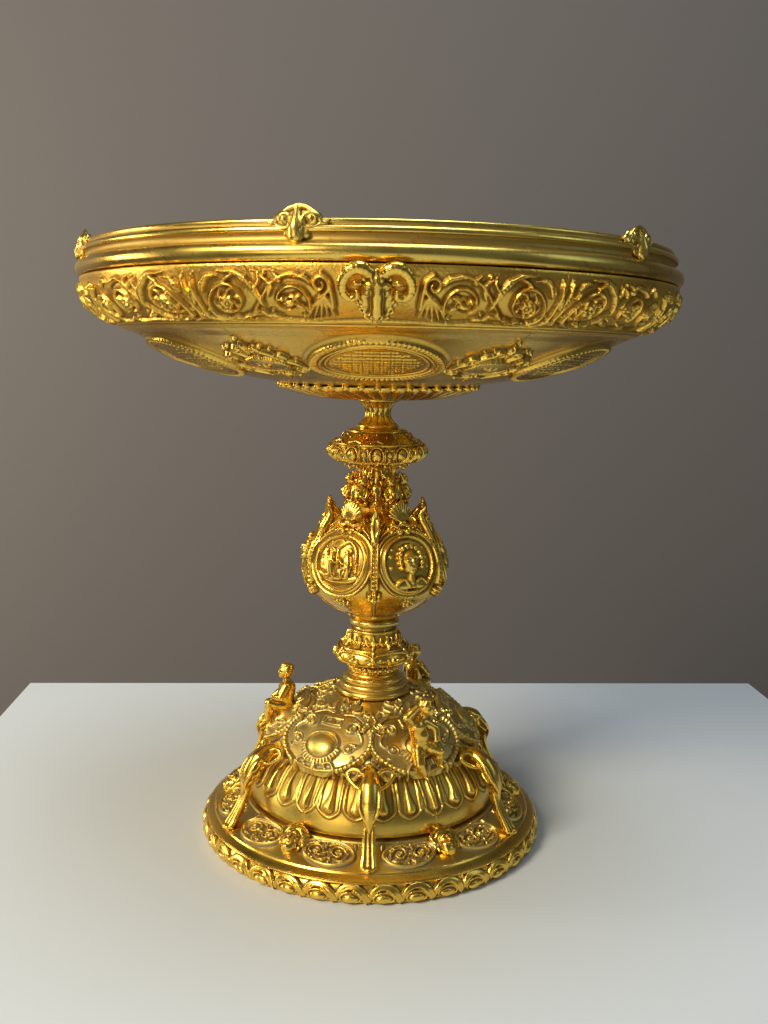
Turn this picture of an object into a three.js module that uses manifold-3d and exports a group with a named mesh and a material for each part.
// A footed dish (tazza) in gilded bronze: a wide shallow bowl on a knopped stem and a stepped round foot.
// Millimetres, +Z up, origin on the table under the middle of the foot. The front faces -Y.
// The stem's castings are threaded on one tie rod. The moulded dish lies loose in the bowl's shell
// and lifts out.
import * as THREE from "three";
import { mergeVertices } from "three/addons/utils/BufferGeometryUtils.js";
import Module from "manifold-3d";

const wasm = await Module();
wasm.setup();

// Driving dimensions.
const BOWL_R = 125; // outside of the rim's big torus
const SEAT_Z = 240.8; // top edge of the shell, which the dish rests on
const RIM_H = 14.2; // from the seat to the top of the rim
const FOOT_R = 76; // outside of the foot's border
const ROD_R = 2.5;
const BORE_R = 3.3; // hole for the rod in every stem casting
const GAP = 0.3; // air between neighbouring castings
const WALL = 2.3; // thickness of the cast shells

// The ornament repeats six times. A station is one repeat, and a half station lies between two.
const FOLDS = 6;
const SECTOR = (2 * Math.PI) / FOLDS;
const HALF = SECTOR / 2;
const DISH_TURN = THREE.MathUtils.degToRad(-12); // the loose dish stands a little turned in its seat

const ROUND_LARGE = 36; // facets round the foot and the bowl
const ROUND_STEM = 18;

// Heights of the joints between the stacked castings.
const BORDER_H = 9;
const FRIEZE_Z = BORDER_H + GAP;
const CUSHION_Z = 17.5;
const DOME_Z = 38.5;
const COLLAR_Z = 62.3;
const LOWER_KNOP_Z = 72.3;
const DISC_Z = 93.3;
const VASE_Z = 97.3;
const CROWN_Z = 150.3;
const UPPER_KNOP_Z = 166;
const SPOOL_Z = 181.5;
const BOSS_Z = 194.3;
const SHELL_Z = 201.4;

const gilt = new THREE.MeshStandardMaterial({ color: 0xd9a63a, roughness: 0.3, metalness: 1 });
const giltMatt = new THREE.MeshStandardMaterial({ color: 0xc08f35, roughness: 0.5, metalness: 1 });
const brass = new THREE.MeshStandardMaterial({ color: 0xb08d4a, roughness: 0.45, metalness: 1 });
const iron = new THREE.MeshStandardMaterial({ color: 0x4b4a48, roughness: 0.6, metalness: 1 });

const tazza = new THREE.Group();

function add(name, geometry, material = gilt, turn = 0, parent = tazza) {
  const mesh = new THREE.Mesh(geometry, material);
  mesh.name = name;
  mesh.rotation.z = turn;
  parent.add(mesh);
  return mesh;
}

// ---- Outlines, as [radius, height] pairs ----

function arc(r, z, radius, from, to, steps) {
  return Array.from({ length: steps + 1 }, (_, i) => {
    const a = THREE.MathUtils.degToRad(from + ((to - from) * i) / steps);
    return [r + radius * Math.cos(a), z + radius * Math.sin(a)];
  });
}

function smooth(points, steps) {
  const curve = new THREE.SplineCurve(points.map(([r, z]) => new THREE.Vector2(r, z)));
  return curve.getSpacedPoints(steps).map((p) => [p.x, p.y]);
}

// The same line moved to its right-hand side by a distance.
function offset(points, distance) {
  return points.map(([r, z], i) => {
    const [r0, z0] = points[Math.max(i - 1, 0)];
    const [r1, z1] = points[Math.min(i + 1, points.length - 1)];
    const length = Math.hypot(r1 - r0, z1 - z0);
    return [r + ((z1 - z0) / length) * distance, z - ((r1 - r0) / length) * distance];
  });
}

// A body of revolution about Z. An outline that doesn't touch the axis is closed into a ring.
function turned(outline, facets) {
  const points = outline.map(([r, z]) => new THREE.Vector2(r, z));
  if (outline[0][0] > 0) points.push(points[0].clone());
  return new THREE.LatheGeometry(points, facets).rotateX(Math.PI / 2);
}

// A stem casting: its outer line, closed down the tie rod's bore.
function bored(outer, facets = ROUND_STEM) {
  const bottom = outer[0][1];
  const top = outer[outer.length - 1][1];
  return turned([[BORE_R, bottom], ...outer, [BORE_R, top]], facets);
}

// ---- Solids, for pieces that are joined or cut ----

function solid(geometry) {
  const bare = geometry.index ? geometry.toNonIndexed() : geometry.clone();
  bare.deleteAttribute("normal");
  bare.deleteAttribute("uv");
  const merged = mergeVertices(bare, 1e-3);
  return new wasm.Manifold(
    new wasm.Mesh({
      numProp: 3,
      vertProperties: merged.attributes.position.array,
      triVerts: new Uint32Array(merged.index.array),
    }),
  );
}

function geometryOf(manifold) {
  const mesh = manifold.getMesh();
  return new THREE.BufferGeometry()
    .setAttribute("position", new THREE.BufferAttribute(mesh.vertProperties, 3))
    .setIndex(new THREE.BufferAttribute(mesh.triVerts, 1));
}

function joined(geometries) {
  return geometries.map(solid).reduce((whole, next) => whole.add(next));
}

function ball(x, y, z, rx, ry = rx, rz = rx) {
  return new THREE.SphereGeometry(1, 8, 4).scale(rx, ry, rz).translate(x, y, z);
}

// A tapering limb with round ends between two points.
function limb([x0, y0, z0], [x1, y1, z1], r0, r1) {
  const from = new THREE.Vector3(x0, y0, z0);
  const along = new THREE.Vector3(x1, y1, z1).sub(from);
  const length = along.length();
  const outline = [[0, -r0 * 0.8], [r0, 0], [r1, length], [0, length + r1 * 0.8]];
  const points = outline.map(([r, h]) => new THREE.Vector2(r, h));
  const turn = new THREE.Quaternion().setFromUnitVectors(new THREE.Vector3(0, 1, 0), along.normalize());
  return new THREE.LatheGeometry(points, 6).applyQuaternion(turn).translate(x0, y0, z0);
}

// What an applied piece must stay clear of: a casting's outer line with the gap added all round.
function cover(outer) {
  const skin = offset(outer, GAP + 0.1);
  const [[lowR, lowZ], [highR, highZ]] = [skin[0], skin[skin.length - 1]];
  const bottom = lowZ - GAP - 0.1;
  const top = highZ + GAP + 0.1;
  return solid(turned([[0, bottom], [lowR, bottom], ...skin, [highR, top], [0, top]], ROUND_LARGE));
}

// Moves a piece made flat (x across, y up the surface, z outwards) onto a casting at the front station.
// The surface there climbs at the angle lean, measured from outwards to up.
function onSurface(geometry, r, z, lean) {
  const across = new THREE.Vector3(1, 0, 0);
  const up = new THREE.Vector3(0, -Math.cos(lean), Math.sin(lean));
  const outwards = new THREE.Vector3().crossVectors(across, up);
  const matrix = new THREE.Matrix4().makeBasis(across, up, outwards).setPosition(0, -r, z);
  return geometry.applyMatrix4(matrix);
}

// ---- Foot ----

const bandOuter = [[72.8, FRIEZE_Z], [70.2, 11.4], [56.5, 17.2]];
const cushionOuter = smooth([[54, CUSHION_Z], [58.2, 22.3], [54.8, 30.8], [45.5, DOME_Z - GAP]], 6);
const domeOuter = smooth([[49, DOME_Z], [49.4, 41], [43, 50.8], [31, 58.6], [17, 62]], 6);

function footBorder() {
  const bulge = arc(FOOT_R - 5, 4.4, 5, -62, 67, 4);
  return turned([[67, 0], ...bulge, [67, BORDER_H]], ROUND_LARGE);
}

function footBand() {
  return turned([[66, FRIEZE_Z], ...bandOuter, [53, 17.2], [53, 17.2 - WALL]], ROUND_LARGE);
}

function gadroonCushion() {
  const inside = offset(cushionOuter, -WALL).slice(1, -1).reverse();
  const top = [43, DOME_Z - GAP];
  return turned([[51.5, CUSHION_Z], ...cushionOuter, top, ...inside, [51.5, 19.4]], ROUND_LARGE);
}

function footDome() {
  const inside = offset(domeOuter, -WALL).slice(1, -2).reverse();
  const top = [[BORE_R, 62], [BORE_R, 59.5], [18, 59.5]];
  return turned([[44.2, DOME_Z], ...domeOuter, ...top, ...inside, [44.2, 40.4]], ROUND_LARGE);
}

function footLeg(keepOut) {
  const hip = [0, -51.5, 38.6];
  const hock = [0, -62.2, 26.6];
  const hoof = [0, -68.6, 13.2];
  const pieces = [
    limb(hip, hock, 4.3, 3.4),
    limb(hock, hoof, 2.9, 1.9),
    limb([0, -70, 13.4], [0, -71.2, 12.8], 1.7, 1.2),
  ];
  return geometryOf(joined(pieces).subtract(keepOut));
}

function footMask(keepOut) {
  const pieces = [ball(0, -0.4, 0.6, 3.6, 4.6, 2.8), ball(-2.6, 3.8, 0.8, 1.9), ball(2.6, 3.8, 0.8, 1.9)];
  const flat = joined(pieces);
  return geometryOf(solid(onSurface(geometryOf(flat), 62.8, 15.4, Math.PI - 0.4)).subtract(keepOut));
}

// A child's figure, from the places of its joints: [across, -radius, height] at the front station.
function putto(keepOut, { hip, chest, head, legs, arms }) {
  const pieces = [limb(hip, chest, 3, 3.3), limb(chest, head, 1.9, 1.8), ball(...head, 3.2, 3.3, 3.6)];
  for (const [thigh, knee, foot] of legs) {
    pieces.push(limb(thigh, knee, 2.3, 1.8), limb(knee, foot, 1.7, 1.2));
  }
  for (const [shoulder, elbow, hand] of arms) {
    pieces.push(limb(shoulder, elbow, 1.5, 1.3), limb(elbow, hand, 1.3, 1.1));
  }
  return geometryOf(joined(pieces).subtract(keepOut));
}

const seated = {
  hip: [0, -42.5, 55],
  chest: [0, -42, 63],
  head: [0.2, -43, 70.4],
  legs: [
    [[-1.6, -43, 54.6], [-2.8, -50.4, 53.4], [-2.4, -51.2, 43.4]],
    [[1.6, -43, 54.6], [3.4, -50.2, 56.4], [3, -50.6, 47]],
  ],
  arms: [
    [[-3, -42.2, 64.2], [-5.2, -45, 60], [-3.6, -49.4, 57.4]],
    [[3, -42.2, 64.2], [5.4, -44.6, 59.6], [4.4, -48.4, 60]],
  ],
};

const standing = {
  hip: [-2.6, -48.4, 45.4],
  chest: [-3.2, -46, 52.6],
  head: [1.6, -45.4, 58],
  legs: [
    [[-3.2, -49, 44.6], [-1.6, -52.4, 38], [0.4, -55.6, 30.6]],
    [[0.2, -49, 44.6], [4.8, -53.6, 43.4], [5.8, -53.6, 34.6]],
  ],
  arms: [
    [[-5.2, -46.4, 53.6], [-8.6, -47.4, 56.4], [-5.4, -46.8, 60.6]],
    [[-0.4, -46.6, 53.4], [4.6, -48.8, 51.4], [4, -50.6, 46.8]],
  ],
};

function buildFoot() {
  add("foot_border", footBorder());
  add("foot_frieze_band", footBand(), giltMatt);
  add("gadroon_cushion", gadroonCushion());
  add("foot_dome", footDome(), giltMatt);
  const keepOut = cover(bandOuter).add(cover(cushionOuter)).add(cover(domeOuter));
  const leg = footLeg(keepOut);
  const mask = footMask(keepOut);
  const sitter = putto(keepOut, seated);
  const climber = putto(keepOut, standing);
  for (let i = 0; i < FOLDS; i++) {
    add(`foot_leg_${i + 1}`, leg, gilt, i * SECTOR);
    add(`foot_mask_${i + 1}`, mask, gilt, i * SECTOR + HALF);
  }
  [climber, sitter, sitter].forEach((figure, i) => {
    add(`putto_${i + 1}`, figure, gilt, HALF + 2 * i * SECTOR);
  });
}

// ---- Stem ----

function steppedCollar() {
  const rings = [[15.2, 64, 1.3], [14, 67, 1.3], [12.4, 69.8, 1.2]];
  const outer = rings.flatMap(([r, z, radius]) => arc(r, z, radius, -60, 75, 2));
  return bored([[15.6, COLLAR_Z], ...outer, [10.2, 71.4], [10, LOWER_KNOP_Z - GAP]]);
}

function lowerKnop() {
  const swell = [[12.6, 75.6], [18.2, 81.4], [14.6, 87.4], [9.4, 90.6]];
  const outer = smooth([[10, LOWER_KNOP_Z], ...swell, [9, DISC_Z - GAP]], 8);
  return bored(outer);
}

function collarDisc() {
  return bored([[9, DISC_Z], [11.2, 94.4], [11.2, 96.2], [9.8, VASE_Z - GAP]]);
}

function vaseKnop() {
  const belly = [[13, 101], [24.5, 107.8], [31, 120], [28, 134], [17.5, 146.2]];
  const outer = smooth([[10.5, VASE_Z], ...belly, [8.6, 150]], 9);
  const inside = offset(outer, -3).slice(2, -2).reverse();
  const outline = [[BORE_R, VASE_Z], ...outer, [BORE_R, 150], [BORE_R, 147], ...inside, [BORE_R, VASE_Z + 4]];
  return turned(outline, ROUND_STEM);
}

function voluteCrown() {
  const outer = [[9, CROWN_Z], [13.2, 152], [13.4, 155.4], [10.4, 158.8], [7, 161.6], [7.6, 164.4]];
  return bored([...outer, [8.6, UPPER_KNOP_Z - GAP]]);
}

function upperKnop() {
  const bulge = arc(18.4, 172.2, 3.4, -80, 70, 4);
  const outer = [[8.8, UPPER_KNOP_Z], [12.5, 166.8], ...bulge, [15.4, 178.4], [11.8, 180.6]];
  return bored([...outer, [9.5, SPOOL_Z - GAP]]);
}

function spool() {
  const waist = smooth([[9.2, 182.8], [6.3, 184.8], [5.5, 188], [6.3, 191.2], [9.3, 193]], 4);
  return bored([[9, SPOOL_Z], ...waist, [9.3, BOSS_Z - GAP]]);
}

function buildStem() {
  add("stepped_collar", steppedCollar());
  add("lower_knop", lowerKnop());
  add("collar_disc", collarDisc());
  add("vase_knop", vaseKnop());
  add("volute_crown", voluteCrown());
  add("upper_knop", upperKnop());
  add("neck_spool", spool());
}

// ---- Bowl ----

const shellOuter = smooth([[43, SHELL_Z], [66.4, 205.2], [92.9, 214.8], [116, 227.8], [122.8, SEAT_Z]], 8);

function bowlBoss() {
  const under = smooth([[12, BOSS_Z], [24, 195.2], [40, 198.8], [43.2, 201]], 4);
  return turned([[BORE_R, BOSS_Z], ...under, [43, 201.1], [BORE_R, 201.1]], ROUND_LARGE);
}

function bowlShell() {
  const inside = offset(shellOuter, -WALL).slice(0, -1).reverse();
  const lip = [122.8 - WALL, SEAT_Z];
  return turned([[BORE_R, SHELL_Z], ...shellOuter, lip, ...inside, [BORE_R, SHELL_Z + WALL]], ROUND_LARGE);
}

function ovalPlate(halfWidth, halfHeight, thickness, r, z, lean, keepOut) {
  const outline = new THREE.Shape().absellipse(0, 0, halfWidth, halfHeight, 0, 2 * Math.PI);
  const options = { depth: 4 + thickness, bevelEnabled: false, curveSegments: 6 };
  const plate = new THREE.ExtrudeGeometry(outline, options);
  plate.translate(0, 0, -4);
  return geometryOf(solid(onSurface(plate, r, z, lean)).subtract(keepOut));
}

// Seen from the front: brow at the top, muzzle hanging, a horn curling down at each side.
function ramHead(keepOut) {
  const pieces = [ball(0, 1, 3.4, 4.6, 6.4, 4.6), ball(0, -6.6, 5.4, 3, 5, 3.4), ball(0, 6.6, 2, 4, 3, 3)];
  for (const side of [-1, 1]) {
    const horn = [[2.6, 6.4, 4], [8.2, 7.2, 5], [9, 0, 4.6]];
    const points = horn.map(([x, y, z]) => [x * side, y, z]);
    pieces.push(limb(points[0], points[1], 2, 1.9), limb(points[1], points[2], 1.9, 1.3));
  }
  const flat = geometryOf(joined(pieces));
  return geometryOf(solid(onSurface(flat, 118.4, 231.6, 1.02)).subtract(keepOut));
}

function buildBowl() {
  add("bowl_boss", bowlBoss());
  add("bowl_shell", bowlShell(), giltMatt);
  const keepOut = cover(shellOuter);
  const medallion = ovalPlate(23.4, 17.6, 1.8, 81.6, 209.6, 0.4, keepOut);
  const cartouche = ovalPlate(12.6, 11.6, 1.8, 80, 209, 0.39, keepOut);
  const ram = ramHead(keepOut);
  for (let i = 0; i < FOLDS; i++) {
    if (i % 2 === 0) add(`ram_head_${i / 2 + 1}`, ram, gilt, i * SECTOR);
    add(`oval_medallion_${i + 1}`, medallion, giltMatt, i * SECTOR);
    add(`small_cartouche_${i + 1}`, cartouche, gilt, i * SECTOR + HALF);
  }
}

// ---- The loose dish ----

const RIM_TOP = SEAT_Z + RIM_H;
const underSeat = [BOWL_R - 6, SEAT_Z + 0.2];

function looseDish() {
  const underside = smooth([[50, 212.5], [82, 214.8], [108, 227.8], [118, 237]], 4);
  const torus = arc(BOWL_R - 3.1, SEAT_Z + 3.5, 3.1, -80, 100, 5);
  const hollow = arc(BOWL_R - 2.6, RIM_TOP - 5.9, 1.8, -120, -240, 2);
  const bead = arc(BOWL_R - 5.2, RIM_TOP - 1.5, 1.5, -20, 180, 4);
  const fillet = [[BOWL_R - 3.4, RIM_TOP - 4], [BOWL_R - 3.4, RIM_TOP - 3.1], [BOWL_R - 4.6, RIM_TOP - 2.7]];
  const upper = offset(underside, -1.7).reverse();
  const outside = [...underside, underSeat, ...torus, ...hollow, ...fillet, ...bead];
  return turned([[0, 212.5], ...outside, [BOWL_R - 8.4, SEAT_Z], ...upper, [0, 214.2]], ROUND_LARGE);
}

// A clasp hooks over the rim, with a gap all round so that it bends to the rim's curve.
function rimClasp() {
  const inner = BOWL_R - 8.4;
  const outer = BOWL_R - 2.7;
  const top = RIM_TOP + 0.4;
  const section = [
    [inner, top - 6], [inner, top], [outer, top], [outer, top - 6],
    [outer + 1.7, top - 6], [outer + 1.7, top + 0.6], [outer - 2, top + 3.4],
    [inner + 1, top + 3.4], [inner - 1.7, top + 0.6], [inner - 1.7, top - 6],
  ];
  const width = 13;
  const shape = new THREE.Shape(section.map(([r, z]) => new THREE.Vector2(r, z)));
  const bar = new THREE.ExtrudeGeometry(shape, { depth: width, bevelEnabled: false });
  return bar.translate(0, 0, -width / 2).rotateX(Math.PI / 2).rotateZ(-Math.PI / 2);
}

function buildDish() {
  add("dish", looseDish());
  const clasp = rimClasp();
  for (let i = 0; i < FOLDS; i++) add(`rim_clasp_${i + 1}`, clasp, gilt, DISH_TURN + i * SECTOR);
}

// ---- Tie rod and its nuts ----

function hexNut(bottom, height) {
  const hexagon = new THREE.Shape(new THREE.Path().absarc(0, 0, 5, 0, 2 * Math.PI).getPoints(3));
  hexagon.holes.push(new THREE.Path().absarc(0, 0, ROD_R + GAP, 0, 2 * Math.PI));
  const nut = new THREE.ExtrudeGeometry(hexagon, { depth: height, bevelEnabled: false, curveSegments: 8 });
  return nut.translate(0, 0, bottom);
}

function washer(bottom, thickness, radius) {
  const top = bottom + thickness;
  const outline = [[ROD_R + GAP, bottom], [radius, bottom], [radius, top], [ROD_R + GAP, top]];
  return turned(outline, ROUND_STEM);
}

function buildTie() {
  const rodBottom = 50;
  const rodTop = 211;
  const shellFloor = SHELL_Z + WALL;
  add("tie_rod", turned([[0, rodBottom], [ROD_R, rodBottom], [ROD_R, rodTop], [0, rodTop]], 16), iron);
  add("foot_washer", washer(57.9, 1.3, 14), brass);
  add("foot_nut", hexNut(53.6, 4), brass);
  add("bowl_washer", washer(shellFloor + GAP, 1.2, 9), brass);
  add("bowl_nut", hexNut(shellFloor + 1.9, 4), brass);
}

buildFoot();
buildStem();
buildBowl();
buildDish();
buildTie();

export default tazza;
